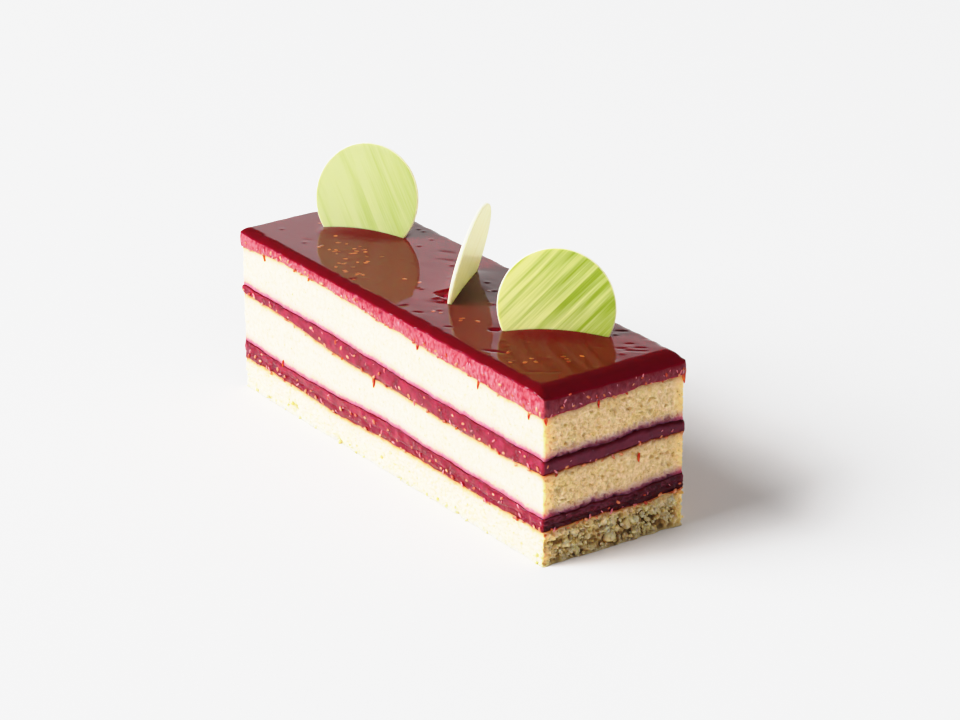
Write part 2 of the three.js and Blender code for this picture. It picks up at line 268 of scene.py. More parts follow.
def close_ends(piece):
    """In edit mode, closes the open rims of a wall with an inset face and a fan of triangles."""
    select_edges(piece, lambda start, along, edge: edge.is_boundary)
    bpy.ops.mesh.fill_holes(sides=0)
    select_faces(piece, lambda face: len(face.verts) > 4)
    bpy.ops.mesh.inset(thickness=CAP_RING * MM, use_even_offset=False)
    bpy.ops.mesh.poke()


def cut_block(name, columns, rows):
    """A block one metre high with the cake's outline, its sides divided into small squares."""
    bpy.ops.object.select_all(action="DESELECT")
    bpy.ops.mesh.primitive_cube_add(size=1, location=(0, 0, 0.5), scale=(LENGTH * MM, WIDTH * MM, 1))
    bpy.ops.object.transform_apply(location=True, rotation=True, scale=True)
    block = bpy.context.object
    block.name = name
    bpy.ops.object.mode_set(mode="EDIT")
    select_edges(block, lambda start, along, edge: abs(along.z) > 0.9)
    bpy.ops.mesh.bevel(offset=CORNER * MM, segments=3)
    select_faces(block, lambda face: abs(face.normal.z) > 0.9)
    bpy.ops.mesh.delete(type="ONLY_FACE")
    for axis, number in zip((0, 0, 1, 1), columns):
        select_edges(block, lambda start, along, edge: abs(along[axis]) > 0.999)
        bpy.ops.mesh.subdivide(number_cuts=number - 1)
    select_edges(block, lambda start, along, edge: abs(along.z) > 0.9)
    bpy.ops.mesh.subdivide(number_cuts=rows - 1)
    close_ends(block)
    bpy.ops.mesh.select_all(action="SELECT")
    bpy.ops.mesh.normals_make_consistent(inside=False)
    bpy.ops.object.mode_set(mode="OBJECT")
    bpy.ops.object.shade_smooth()
    return block


def points_of(piece):
    """The points of a mesh, in mm, as three lists of coordinates."""
    flat = np.zeros(3 * len(piece.data.vertices), np.float32)
    piece.data.vertices.foreach_get("co", flat)
    return (flat.reshape(-1, 3).astype(float) / MM).T


def set_points(piece, x, y, z):
    piece.data.vertices.foreach_set("co", (np.stack([x, y, z], -1) * MM).astype(np.float32).ravel())
    piece.data.update()


def outward(x, y):
    """The direction out of the cake's side at each point, or nothing for a point inside it."""
    half = np.array([[LENGTH / 2 - CORNER], [WIDTH / 2 - CORNER]])
    off = np.array([x, y]) - np.clip([x, y], -half, half)
    reach = np.hypot(*off)
    return np.where(reach > 0.98 * CORNER, off / np.maximum(reach, 1e-6), 0)


def shape_sides(piece, bottom, top, stand):
    """Gives a block its place between two levels. stand(x, y, z, t, out_x) says how far its side stands out.
    Returns the place of the flat side and the direction out of it."""
    x, y, t = points_of(piece)
    t = np.clip(t * MM, 0, 1)
    out_x, out_y = outward(x, y)
    low, high = bottom(x, y), top(x, y)
    z = low + (high - low) * t
    out = stand(x, y, z, t, out_x)
    set_points(piece, x + out_x * out, y + out_y * out, z)
    keep_value(piece, "above_jam", z - low)
    keep_value(piece, "below_jam", high - z)
    within = np.clip(np.minimum(z - low, high - z) / EDGE_KEPT_CLEAN, 0, 1) * np.hypot(out_x, out_y)
    weigh(piece, "cut_side", within)
    weigh(piece, "cut_end", within * np.abs(out_x))
    return x, y, out_x, out_y


def weigh(piece, name, weights):
    """A vertex group with the weights rounded to tenths."""
    group = piece.vertex_groups.new(name=name)
    steps = np.rint(weights * 10).astype(int)
    for step in range(1, 11):
        group.add(np.nonzero(steps == step)[0].tolist(), step / 10, "REPLACE")


def roughen(piece, side, kind, grain, depth, sunk=0.5, **settings):
    """Pushes cut sides in and out by a texture with grains that size. `sunk` is the share that goes in."""
    texture = bpy.data.textures.new(f"{piece.name}_{kind.lower()}", kind)
    texture.noise_scale = grain * MM
    for name, value in settings.items():
        setattr(texture, name, value)
    modifier = piece.modifiers.new("crumb", "DISPLACE")
    modifier.texture = texture
    modifier.texture_coords = "LOCAL"
    modifier.vertex_group = side
    modifier.strength = depth * MM
    modifier.mid_level = sunk
    bpy.context.view_layer.objects.active = piece
    bpy.ops.object.modifier_apply(modifier=modifier.name)


def keep_value(piece, name, values):
    """Keeps one number for each point of a mesh, which its material can read."""
    piece.data.attributes.new(name, "FLOAT", "POINT").data.foreach_set("value", values.astype(np.float32))


def keep_end_shade_and_glow(piece, y, at_end, corner_glow):
    """Keeps how much painted shade darkens the ends, and how much a painted glow lightens them near the long
    sides.
    """
    from_corner = np.clip((WIDTH / 2 - np.abs(y)) / GLOW_FROM_CORNER, 0, 1)
    keep_value(piece, "painted_end_shade", at_end * from_corner)
    keep_value(piece, "painted_corner_glow", at_end * corner_glow * (1 - from_corner))


def keep_sunk(piece, flat_x, flat_y, out_x, out_y):
    """Keeps how far in mm each point lies behind the flat cut, which sets painted shade in the holes, and the
    painted shade and glow of the ends.
    """
    x, y, z = points_of(piece)
    keep_value(piece, "sunk", (flat_x - x) * out_x + (flat_y - y) * out_y)
    keep_end_shade_and_glow(piece, flat_y, np.abs(out_x), GLOW_SHARE)


def per(size):
    """The scale of a procedural texture whose features are `size` mm across."""
    return 1 / (size * MM)


# Butter sponge: matt and open, pale cream. Its colour holds painted light: painted shade turns the ends tan,
# and the holes and what lies back from the cut olive brown, and a painted glow turns the ends yellow near the
# long sides. Jam has soaked into the bottom of a layer that lies on jam, and a little juice has run down from
# above.
# Crumb tones on the long sides and, as painted shade, the darker tan tones of the ends. Then the painted glow
# near the ends' corners, golden patches, and painted shade in the holes and deep in them.
CRUMB_TONES_SIDE, CRUMB_TONES_SHADED_END = ("#FFE6B8", "#F0CA8C"), ("#FADCB0", "#D0A872")
CORNER_GLOW_COLOUR, GOLDEN_CRUMB, HOLE_SHADE, DEEP_HOLE_SHADE = "#FFD58C", "#E9C983", "#96743E", "#4C3E16"
# Jam in the sponge: above or below it, the heights in mm where it is full and gone, how strong it is, how it
# fades, and its colours on a long side and on an end, where painted shade makes the colour darker.
JUICES = [
    ("above_jam", 1.6, 4.9, 0.9, "SMOOTHSTEP", "#DA6C7C", "#AC7886"),
    ("above_jam", 1.1, 2.9, 1, "SMOOTHSTEP", "#C4506C", "#70304A"),
    ("below_jam", 1.2, 4.4, 0.75, "SMOOTHSTEP", "#E89878", "#CFA67E"),
    ("below_jam", 1.1, 2.4, 0.9, "LINEAR", "#D86A32", "#8C4C38")]

butter_sponge, tree, shader = new_material("butter_sponge_cut_crumb")
place = add_node(tree, "TexCoord").outputs["Object"]
crumb = add_node(tree, "TexNoise", {
    "Vector": place, "Scale": per(1.5), "Detail": 5, "Roughness": 0.65}).outputs["Fac"]
patch = add_node(tree, "TexNoise", {
    "Vector": place, "Scale": per(9), "Detail": 2, "Roughness": 0.5}).outputs["Fac"]
bubble = add_node(tree, "TexVoronoi", {
    "Vector": place, "Scale": per(0.95), "Randomness": 1}).outputs["Distance"]
pore = add_node(tree, "MapRange", {
    "Value": bubble, "From Min": 0.12, "From Max": 0.34, "To Min": 0.9, "To Max": 0}).outputs["Result"]
open_crumb = add_node(tree, "MapRange", {
    "Value": crumb, "From Min": 0.5, "From Max": 0.66}).outputs["Result"]
pore = add_node(tree, "Math", {0: pore, 1: open_crumb}, operation="MULTIPLY").outputs[0]
tone_of_crumb = add_node(tree, "MapRange", {
    "Value": crumb, "From Min": 0.32, "From Max": 0.68}).outputs["Result"]
side_tones, shaded_end_tones = (
    add_node(tree, "Mix", {
        0: tone_of_crumb, 6: linear(light), 7: linear(dark)}, data_type="RGBA").outputs[2]
    for light, dark in (CRUMB_TONES_SIDE, CRUMB_TONES_SHADED_END))
# Painted shade on the ends, and a painted yellow glow on them near the long sides.
end_shade = add_node(tree, "Attribute", attribute_name="painted_end_shade").outputs["Fac"]
corner_glow = add_node(tree, "Attribute", attribute_name="painted_corner_glow").outputs["Fac"]
golden = add_node(tree, "MapRange", {
    "Value": patch, "From Min": 0.5, "From Max": 0.75, "To Max": 0.3}).outputs["Result"]
sunk = add_node(tree, "Attribute", attribute_name="sunk").outputs["Fac"]
# Painted shade in the holes: stronger where the crumb lies further back from the flat cut, and in the pores.
shade_in_holes = add_node(tree, "MapRange", {
    "Value": sunk, "From Min": 0.7, "From Max": 1.9, "To Max": 0.65}).outputs["Result"]
shade_in_holes = add_node(tree, "Math", {0: shade_in_holes, 1: pore}, operation="MAXIMUM").outputs[0]
deep_shade_in_holes = add_node(tree, "MapRange", {
    "Value": sunk, "From Min": 1.6, "From Max": 3.1, "To Max": 0.9}).outputs["Result"]
coats = [
    (end_shade, shaded_end_tones), (corner_glow, linear(CORNER_GLOW_COLOUR)), (golden, linear(GOLDEN_CRUMB)), (shade_in_holes, linear(HOLE_SHADE)),
    (deep_shade_in_holes, linear(DEEP_HOLE_SHADE))]
wander = add_node(tree, "Math", {0: crumb, 1: 2.4}, operation="MULTIPLY").outputs[0]
for jam, full, gone, strength, fade, on_side, on_end in JUICES:
    distance = add_node(tree, "Attribute", attribute_name=jam).outputs["Fac"]
    distance = add_node(tree, "Math", {0: distance, 1: wander}, operation="ADD").outputs[0]
    soaked = add_node(tree, "MapRange", {
        "Value": distance, "From Min": full, "From Max": gone, "To Min": strength, "To Max": 0},
        interpolation_type=fade).outputs["Result"]
    juice = add_node(tree, "Mix", {
        0: end_shade, 6: linear(on_side), 7: linear(on_end)}, data_type="RGBA").outputs[2]
    coats.append((soaked, juice))
colour = side_tones
for share, coat in coats:
    colour = add_node(tree, "Mix", {0: share, 6: colour, 7: coat}, data_type="RGBA").outputs[2]
depth = add_node(tree, "Math", {0: crumb, 1: pore}, operation="SUBTRACT").outputs[0]
bump = add_node(tree, "Bump", {
    "Strength": 0.7, "Distance": 0.35 * MM, "Height": depth}).outputs["Normal"]
plug(tree, shader, {
    "Base Color": colour, "Normal": bump, "Roughness": 0.85, "Specular IOR Level": 0.2,
    "Subsurface Weight": 0.7, "Subsurface Radius": (1, 0.6, 0.22), "Subsurface Scale": 4 * MM})


def table_top(x, y):
    return np.zeros_like(x)


def base_side(x, y, z, t, out_x):
    torn = bumps(x, y, z, CRUMB_SIZE) + sum(
        (y < 0) * BITE_DEPTH * np.exp(-(((x - at_x) / wide) ** 2) - ((z - at_z) / high) ** 2)
        for at_x, at_z, wide, high in BITES)
    torn_from = np.clip((TORN_UP_TO - t) * 4, 0.12, 1)
    torn_from = torn_from * np.clip((WIDTH / 2 - np.abs(y + 1)) / TORN_FROM_CORNER, 0.2, 1)
    at_end = BASE_CRUMB_END * (0.3 + 0.9 * torn) * torn_from
    return -BASE_CRUMB_SIDE * torn * (1 - np.abs(out_x)) - at_end * np.abs(out_x)


base_top = level([10.5, 10.4, 9.6, 10.6, 11.1, 10.8, 11.2], [0.4, 0.6], 0.4, 0)
sponge_base = cut_block("base_sponge", SPONGE_COLUMNS, SPONGE_ROWS)
flat_side = shape_sides(sponge_base, table_top, base_top, base_side)
not_on_jam = np.full(len(sponge_base.data.vertices), FAR_FROM_JAM, np.float32)
sponge_base.data.attributes["above_jam"].data.foreach_set("value", not_on_jam)
roughen(sponge_base, "cut_end", "CLOUDS", 2.2, 3.1, sunk=0.64, noise_depth=2)
roughen(sponge_base, "cut_end", "VORONOI", 1.5, 0.9, sunk=0.8)
roughen(sponge_base, "cut_side", "CLOUDS", 0.8, 0.45, noise_depth=3)
roughen(sponge_base, "cut_side", "VORONOI", 1.2, 0.45, sunk=1, contrast=3, intensity=1.3, use_clamp=True)
x, y, z = points_of(sponge_base)
set_points(sponge_base, x, y, np.maximum(z, 0))
keep_sunk(sponge_base, *flat_side)
sponge_base.data.materials.append(butter_sponge)
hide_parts("sponge_base")
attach(sponge_base, "root")


# ----------------------------------------------------------------------
# Torn crumbs: uneven clumps of sponge up to 4 mm across and crumbs of about 1 mm, which hang in patches on
# the torn ends of the base. A few loose crumbs cling low down on its long sides.

# How many there are, and their sizes as shares of a clump 2 mm across.
CLUMPS, FINE_CRUMBS, LOOSE_CRUMBS = 90, 420, 60
SMALLEST_CLUMP, LARGEST_CLUMP = 0.6, 1.8
FINE_SIZES, LOOSE_SIZES = (0.22, 0.6), (0.25, 0.7)
CRUMB_PATCH = 3.4
# Clumps and fine crumbs come where the bumps that make the patches rise above these.
CLUMP_PATCHES, FINE_PATCHES = 0.46, 0.36
TORN_HEIGHT = 9.4
PROUD_CRUMB = 0.2


def crumb_model(segments, seed):
    """An uneven clump of sponge, about 2 mm across, with that many segments round it."""
    bpy.ops.object.select_all(action="DESELECT")
    bpy.ops.mesh.primitive_uv_sphere_add(segments=segments, ring_count=segments - 2, radius=1 * MM)
    clump = bpy.context.object
    x, y, z = points_of(clump)
    swell = 0.2 + 1.1 * bumps(x + 9, y, z, 1.2, seed=seed) + 0.8 * bumps(x + 9, y, z, 0.5, seed=seed + 1)
    set_points(clump, x * swell, 0.85 * y * swell, 0.8 * z * swell)
    bpy.ops.object.shade_smooth()
    return clump


def scatter(name, models, places):
    """Copies the models in turn to each place and joins the copies into one piece."""
    bpy.ops.object.select_all(action="DESELECT")
    for number, place in enumerate(places):
        copy = models[number % len(models)].copy()
        copy.data = copy.data.copy()
        copy.data.transform(place)
        bpy.context.collection.objects.link(copy)
        copy.select_set(True)
        bpy.context.view_layer.objects.active = copy
    bpy.ops.object.join()
    for model in models:
        bpy.data.objects.remove(model)
    piece = bpy.context.object
    piece.name = name
    return piece


def tumbled(at, size):
    """A place in mm, a random turn and a size."""
    turn = Matrix.Rotation(random.uniform(0, math.tau), 4, Vector([random.gauss(0, 1) for _ in range(3)]))
    return Matrix.Translation(Vector(at) * MM) @ turn @ Matrix.Scale(size, 4)


clump_places, fine_places = [], []
for end in (-1, 1):
    for number in range(CLUMPS + FINE_CRUMBS):
        y, z = WIDTH * (random.random() - 0.5) * 0.9, TORN_HEIGHT * random.random() ** 1.15
        clump = number < CLUMPS
        patchy = bumps(np.array([y]), z, end, CRUMB_PATCH, seed=47)[0]
        if patchy < (CLUMP_PATCHES if clump else FINE_PATCHES):
            continue
        if clump:
            size = SMALLEST_CLUMP + (LARGEST_CLUMP - SMALLEST_CLUMP) * random.random() ** 2.4
        else:
            size = random.uniform(*FINE_SIZES)
        inset = 0.3 + 0.7 * size + random.uniform(0, 1) * (1 if clump else 1.3)
        place = tumbled((end * (LENGTH / 2 - inset), y, max(z, 0.8 * size)), size)
        (clump_places if clump else fine_places).append(place)
for number in range(LOOSE_CRUMBS):
    x = random.uniform(-LENGTH / 2, LENGTH / 2) * 0.99
    side = -1 if number % 2 else 1
    size = random.uniform(*LOOSE_SIZES)
    height = 0.75 * size + random.random() ** 3 * 4
    fine_places.append(tumbled((x, side * (WIDTH / 2 - 0.25 * size), height), size))
for name, segments, places in [("torn_clumps", 18, clump_places), ("fine_crumbs", 7, fine_places)]:
    torn_crumbs = scatter(name, [crumb_model(segments, seed) for seed in (41, 43, 45)], places)
    x, y, z = points_of(torn_crumbs)
    x, z = np.clip(x, -LENGTH / 2 - PROUD_CRUMB, LENGTH / 2 + PROUD_CRUMB), np.maximum(z, 0)
    set_points(torn_crumbs, x, y, z)
    for distance in ("above_jam", "below_jam"):
        keep_value(torn_crumbs, distance, np.full(len(x), FAR_FROM_JAM))
    # Crumbs that lie further back behind the cut get more painted shade.
    behind_the_cut = np.clip(0.55 * (LENGTH / 2 - abs(x)) - 0.3, 0, 3)
    keep_value(torn_crumbs, "sunk", behind_the_cut * (abs(y) < WIDTH / 2 - 0.5))
    keep_end_shade_and_glow(torn_crumbs, y, 1, 0.5)
    torn_crumbs.data.materials.append(butter_sponge)
    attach(torn_crumbs, "root")


# ----------------------------------------------------------------------
# Lower jam: raspberry jam set firm with pectin and spread 5 mm deep. The knife has left a crease along its
# side, with the jam above it pressed out and the jam below it drawn in.
JAM_COLUMNS = (17, 20, 10, 13)
JAM_ROWS = 22
FLUSH = 0.15
# The section through its side: the share of its height, and how far it stands out there.
LOWER_JAM_SIDE = [
    (0, -0.6), (0.06, -0.4), (0.12, 0), (0.34, -0.1), (0.42, -0.4), (0.5, 0.15), (0.75, 0.25), (0.92, 0.1),
    (1, -0.35)]
CREASE_WANDER = 0.25


def end_shade_share(tree, most):
    """A share from 0 on the long sides to `most` on the ends, for painted shade on the ends' cut face."""
    normal = add_node(tree, "NewGeometry").outputs["Normal"]
    along = add_node(tree, "SeparateXYZ", {0: normal}).outputs["X"]
    along = add_node(tree, "Math", {0: along}, operation="ABSOLUTE").outputs[0]
    return add_node(tree, "MapRange", {
        "Value": along, "From Min": 0.6, "From Max": 0.9, "To Max": most}).outputs["Result"]


# Set raspberry jam: hazy where the knife cut it flat, with light glowing through thin edges. Painted shade
# makes it a deep red where it rounds off, low on its side and on its ends.
raspberry_jam, tree, shader = new_material("raspberry_jam_knife_cut")
place = add_node(tree, "TexCoord").outputs["Object"]
pulp = add_node(tree, "TexNoise", {
    "Vector": place, "Scale": per(3.5), "Detail": 4, "Roughness": 0.6}).outputs["Fac"]
pulpy = add_node(tree, "MapRange", {
    "Value": pulp, "From Min": 0.35, "From Max": 0.7}).outputs["Result"]
cut_face = add_node(tree, "Mix", {
    0: pulpy, 6: linear("#8A1C34"), 7: linear("#5C0819")}, data_type="RGBA").outputs[2]
# Painted shade on the ends of the cut face.
cut_face = add_node(tree, "Mix", {
    0: end_shade_share(tree, 0.65), 6: cut_face, 7: linear("#54243C")}, data_type="RGBA").outputs[2]
# Painted shade: a deeper red low on the jam's side and on its ends.
jam_shade_red = add_node(tree, "Mix", {
    0: end_shade_share(tree, 1), 6: linear("#6C0420"), 7: linear("#420612")}, data_type="RGBA").outputs[2]
painted_jam_shade = add_node(tree, "Attribute", attribute_name="painted_jam_shade").outputs["Fac"]
cut_face = add_node(tree, "Mix", {
    0: painted_jam_shade, 6: cut_face, 7: jam_shade_red}, data_type="RGBA").outputs[2]
tilt = add_node(tree, "SeparateXYZ", {
    0: add_node(tree, "NewGeometry").outputs["Normal"]}).outputs["Z"]
tilt = add_node(tree, "Math", {0: tilt}, operation="ABSOLUTE").outputs[0]
# Painted shade where the jam's surface rounds off, up or down.
rounded = add_node(tree, "MapRange", {
    "Value": tilt, "From Min": 0.15, "From Max": 0.6}).outputs["Result"]
colour = add_node(tree, "Mix", {
    0: rounded, 6: cut_face, 7: linear("#560818")}, data_type="RGBA").outputs[2]
smear = add_node(tree, "Mapping", {
    "Vector": place, "Scale": (0.35, 0.35, 1)}).outputs["Vector"]
drag = add_node(tree, "TexNoise", {
    "Vector": smear, "Scale": per(0.9), "Detail": 3, "Roughness": 0.5}).outputs["Fac"]
bump = add_node(tree, "Bump", {
    "Strength": 0.35, "Distance": 0.12 * MM, "Height": drag}).outputs["Normal"]
wetness = add_node(tree, "MapRange", {
    "Value": pulp, "From Min": 0.3, "From Max": 0.7, "To Min": 0.14, "To Max": 0.3}).outputs["Result"]
plug(tree, shader, {
    "Base Color": colour, "Normal": bump, "Roughness": wetness, "IOR": 1.37, "Specular IOR Level": 0.35,
    "Subsurface Weight": 0.8, "Subsurface Radius": (1, 0.1, 0.09), "Subsurface Scale": 3.5 * MM})


def jam_side(profile, share, lumps, out_x):
    """How far jam stands out at each share of its height, which is in full at the ends alone."""
    proud = 0.4 + 0.6 * np.abs(out_x)
    return proud * np.interp(share, *zip(*profile)) - FLUSH + lumps


def keep_painted_jam_shade(jam, bottom, top, up_to, at_end):
    """Keeps where painted shade darkens the jam, up to a share of its height and on its ends."""
    x, y, z = points_of(jam)
    share = (z - bottom(x, y)) / (top(x, y) - bottom(x, y)) + 0.3 * (bumps(x, y, 0, 6, seed=6) - 0.5)
    low_down = np.clip((up_to - share) * 10, 0, 0.85)
    keep_value(jam, "painted_jam_shade", np.maximum(low_down, at_end * np.abs(outward(x, y)[0])))


def lower_jam_side(x, y, z, t, out_x):
    share = t + CREASE_WANDER * (bumps(x, y, 0, 7, seed=2) - 0.5)
    return jam_side(LOWER_JAM_SIDE, share, 0.35 * (bumps(x, y, z, 2.2, seed=3) - 0.5), out_x)


lower_jam_top = level([16.4, 15.2, 15.7, 16.8, 16.1, 15.8, 15.4], [0.6, 1.4], 0.5, 0.6)
jam_lower = cut_block("lower_jam", JAM_COLUMNS, JAM_ROWS)
shape_sides(jam_lower, base_top, lower_jam_top, lower_jam_side)
roughen(jam_lower, "cut_side", "CLOUDS", 1.1, 0.3, noise_depth=2)
roughen(jam_lower, "cut_end", "CLOUDS", 1.6, 1.3, sunk=0.6, noise_depth=2)
keep_painted_jam_shade(jam_lower, base_top, lower_jam_top, 0.5, 0.8)
jam_lower.data.materials.append(raspberry_jam)
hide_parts("jam_lower")
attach(jam_lower, "root")


# ----------------------------------------------------------------------
# Middle sponge: the same butter sponge, cut clean. Jam has soaked up into its lowest 2 mm.
SPONGE_RECESS = 0.3
SPONGE_CRUMB = 0.35
HOLE_SIZE, HOLE_DEPTH = 1.1, 0.7


def sponge_side(x, y, z, t, out_x):
    holes = np.clip(bumps(x, y, z, HOLE_SIZE, seed=51) * 5 - 3.4, 0, 1)
    return -SPONGE_RECESS - SPONGE_CRUMB * bumps(x, y, z, CRUMB_SIZE) - HOLE_DEPTH * holes * np.abs(out_x)


def finish_sponge(piece, node, flat_side):
    """The open crumb of a layer that the knife cut clean, its material, and its place in the frame."""
    roughen(piece, "cut_side", "CLOUDS", 0.7, 0.4, noise_depth=3)
    roughen(piece, "cut_end", "VORONOI", 0.8, 0.35, sunk=1, contrast=3, intensity=1.3, use_clamp=True)
    keep_sunk(piece, *flat_side)
    piece.data.materials.append(butter_sponge)
    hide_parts(node)
    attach(piece, "root")


middle_top = level([33.0, 32.3, 29.8, 29.1, 28.6, 28.4, 28.9], [-0.8, 1.8], 0.5, 2.4)
sponge_middle = cut_block("middle_sponge", SPONGE_COLUMNS, SPONGE_ROWS)
flat_side = shape_sides(sponge_middle, lower_jam_top, middle_top, sponge_side)
finish_sponge(sponge_middle, "sponge_middle", flat_side)


# ----------------------------------------------------------------------
# Upper jam: spread thinner towards the left end. Its side is one smooth facet with a recess along its foot,
# where the knife pulled it off the sponge, and painted shade darkens a line in that recess.
UPPER_JAM_SIDE = [
    (0, -0.8), (0.06, -0.7), (0.13, 0.15), (0.35, 0.35), (0.7, 0.3), (0.85, 0.15), (0.95, -0.1), (1, -0.4)]
LINE_WANDER = 0.12


def upper_jam_side(x, y, z, t, out_x):
    share = t + LINE_WANDER * (bumps(x, y, 0, 6, seed=4) - 0.5)
    return jam_side(UPPER_JAM_SIDE, share, 0.3 * (bumps(x, y, z, 3, seed=5) - 0.5), out_x)


upper_jam_top = level([35.9, 35.8, 35.9, 34.7, 34.1, 33.9, 33.8], [-0.2, 1.3], 0.5, 2.8)
jam_upper = cut_block("upper_jam", JAM_COLUMNS, JAM_ROWS)
shape_sides(jam_upper, middle_top, upper_jam_top, upper_jam_side)
roughen(jam_upper, "cut_side", "CLOUDS", 1.2, 0.22, noise_depth=2)
keep_painted_jam_shade(jam_upper, middle_top, upper_jam_top, 0.14, 0)
jam_upper.data.materials.append(raspberry_jam)
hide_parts("jam_upper")
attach(jam_upper, "root")


# ----------------------------------------------------------------------
# Top sponge: the last layer of sponge, soaked below like the middle one.
top_sponge_top = level([49.4, 51.3, 51.0, 49.7, 48.8, 47.9, 47.2], [-0.6, 2.5], 0.4, 4)
sponge_top = cut_block("top_sponge", SPONGE_COLUMNS, SPONGE_ROWS)
flat_side = shape_sides(sponge_top, upper_jam_top, top_sponge_top, sponge_side)
finish_sponge(sponge_top, "sponge_top", flat_side)


# ----------------------------------------------------------------------
# Jelly: raspberry juice set with gelatine and poured over the top sponge. Its top has set flat as a mirror
# and its edges slope off round the cake. Each disc has pushed up a soft lip where it went in.
JELLY_TOP = 55.5
# How far in from each side the jelly starts to slope, and how far it drops.
SHOULDERS = {"left": (1.8, 1.2), "right": (6.6, 2.8), "near": (3.6, 1.4), "far": (3.0, 1.8)}
CREST_WANDER = 0.9
JELLY_COLUMNS, JELLY_LINES, JELLY_ROWS = 340, 104, 14
JELLY_BULGE = 0.3
RIPPLE = 0.035
DISC_DIAMETER, DISC_THICKNESS, DISC_EDGE_ROUND = 36, 1.3, 0.35
# Where each disc's middle is and how far above the jelly, which way it faces and how far it leans back, in
# degrees, and the height of the lip at its foot.
DISCS = {
    "left": {"x": -59.2, "y": 7.1, "above": 10.6, "facing": -57.6, "lean": 15.5, "lip": 1.3},
    "middle": {"x": 3.4, "y": 4.4, "above": 9.5, "facing": 40.3, "lean": -14.0, "lip": 0.8},
    "right": {"x": 48.4, "y": 5.0, "above": 7.6, "facing": -44.4, "lean": 11.1, "lip": 1.3},
}
LIP_LENGTH, LIP_WIDTH = 15, 5
SLOT_CLEARANCE = 0.08
# Wrinkles in the skin of the jelly: middle x and y, length, direction in degrees, width, and depth.
WRINKLES = [
    (-24, -21.6, 2.6, 20, 0.5, 0.12), (4.3, -20.8, 3.4, 75, 0.45, 0.14), (11.6, -20.2, 3.6, 42, 0.45, 0.16),
    (27, -19.3, 3, 45, 0.5, 0.14), (49.5, -20.4, 5, 32, 0.5, 0.16), (51.5, -18.8, 6, 32, 0.5, 0.16),
    (53.5, -17.4, 4, 32, 0.5, 0.12), (70, -19.5, 7, 55, 0.6, 0.14), (74, -14.5, 5, 60, 0.6, 0.12),
    (60, 20.8, 5, 52, 0.6, 0.1), (69.4, 16.4, 3, 52, 0.5, 0.12), (70.8, 12.4, 4, 52, 0.5, 0.14),
    (73, 12.9, 4, 45, 0.5, 0.14), (73.8, 17.2, 4, 52, 0.5, 0.12), (75.6, 15.7, 5, 50, 0.5, 0.12),
    (70, 24, 6, 40, 0.6, 0.12), (66, 8, 3, 52, 0.5, 0.1), (-62, -14, 5, 30, 0.9, 0.04),
    (-20, 12, 9, 30, 1.2, 0.05), (-26, 16, 8, 30, 1.2, 0.05), (-12, 15, 7, 35, 1.1, 0.05),
    (18, 16, 5, 50, 1, 0.05), (26, 13, 4, 50, 0.8, 0.05), (32, 17, 5, 50, 0.8, 0.05)]
# Slits that the discs tore beside their feet: the same numbers.
SLITS = [
    (4.6, -6, 7.5, 8, 0.9, 1.9), (2.6, -4.2, 6, 78, 0.8, 1.7), (36.8, -9.4, 4, 50, 0.7, 0.9),
    (-68.5, -1.6, 3, 45, 0.6, 0.7)]
PIMPLES, PIMPLE_SIZE, PIMPLE_HEIGHT = 60, 0.7, 0.08
FLECK_SIZE, FLECK_DEPTH = 0.8, 0.3
WAVY_CUT, WOBBLE = 0.35, 0.12


def disc_axes(disc):
    """The directions to the right, up and out of the front of a disc."""
    facing, lean = math.radians(disc["facing"]), math.radians(disc["lean"])
    front = Vector((math.cos(lean) * math.cos(facing), math.cos(lean) * math.sin(facing), math.sin(lean)))
    right = Vector((0, 0, 1)).cross(front).normalized()
    return right, front.cross(right), front


def lip_height(disc, x, y):
    """The soft mound along the line where a disc enters the jelly."""
    right, up, front = disc_axes(disc)
    level_front = Vector((front.x, front.y)).normalized()
    back = disc["above"] * front.z / math.hypot(front.x, front.y)
    from_x, from_y = x - disc["x"] - level_front.x * back, y - disc["y"] - level_front.y * back
    along = (from_x * right.x + from_y * right.y) / LIP_LENGTH
    ahead = (from_x * level_front.x + from_y * level_front.y) / LIP_WIDTH
    return disc["lip"] * np.clip(1 - along**2, 0, 1) * np.exp(-(ahead**2))


def groove(x, y, middle_x, middle_y, length, direction, width, depth):
    """How deep one groove in the jelly is at each point."""
    along_x, along_y = math.cos(math.radians(direction)), math.sin(math.radians(direction))
    along = (x - middle_x) * along_x + (y - middle_y) * along_y
    across = (y - middle_y) * along_x - (x - middle_x) * along_y
    return depth * np.clip(1 - (2 * along / length) ** 2, 0, 1) * np.exp(-((across / width) ** 2))


def jelly_top(x, y):
    """The height of the jelly's top away from its edges, with all that unsettles it."""
    ripples = 2 * bumps(x, y, 0, 16, seed=21) + 0.9 * bumps(x, y * 1.6, 0, 6, seed=22)
    ripples = ripples + 0.35 * bumps(x, y * 2, 0, 3, seed=23) - 1.6
    pimples = sum(
        groove(x, y, *place, 3 * PIMPLE_SIZE, 0, PIMPLE_SIZE, PIMPLE_HEIGHT) for place in pimple_places)
    wrinkles = sum(groove(x, y, *wrinkle) for wrinkle in WRINKLES + SLITS)
    lips = sum(lip_height(disc, x, y) for disc in DISCS.values())
    return JELLY_TOP + RIPPLE * ripples + lips + pimples - wrinkles


pimple_places = [(random.uniform(-78, 74), random.uniform(-20, 21)) for _ in range(PIMPLES)]


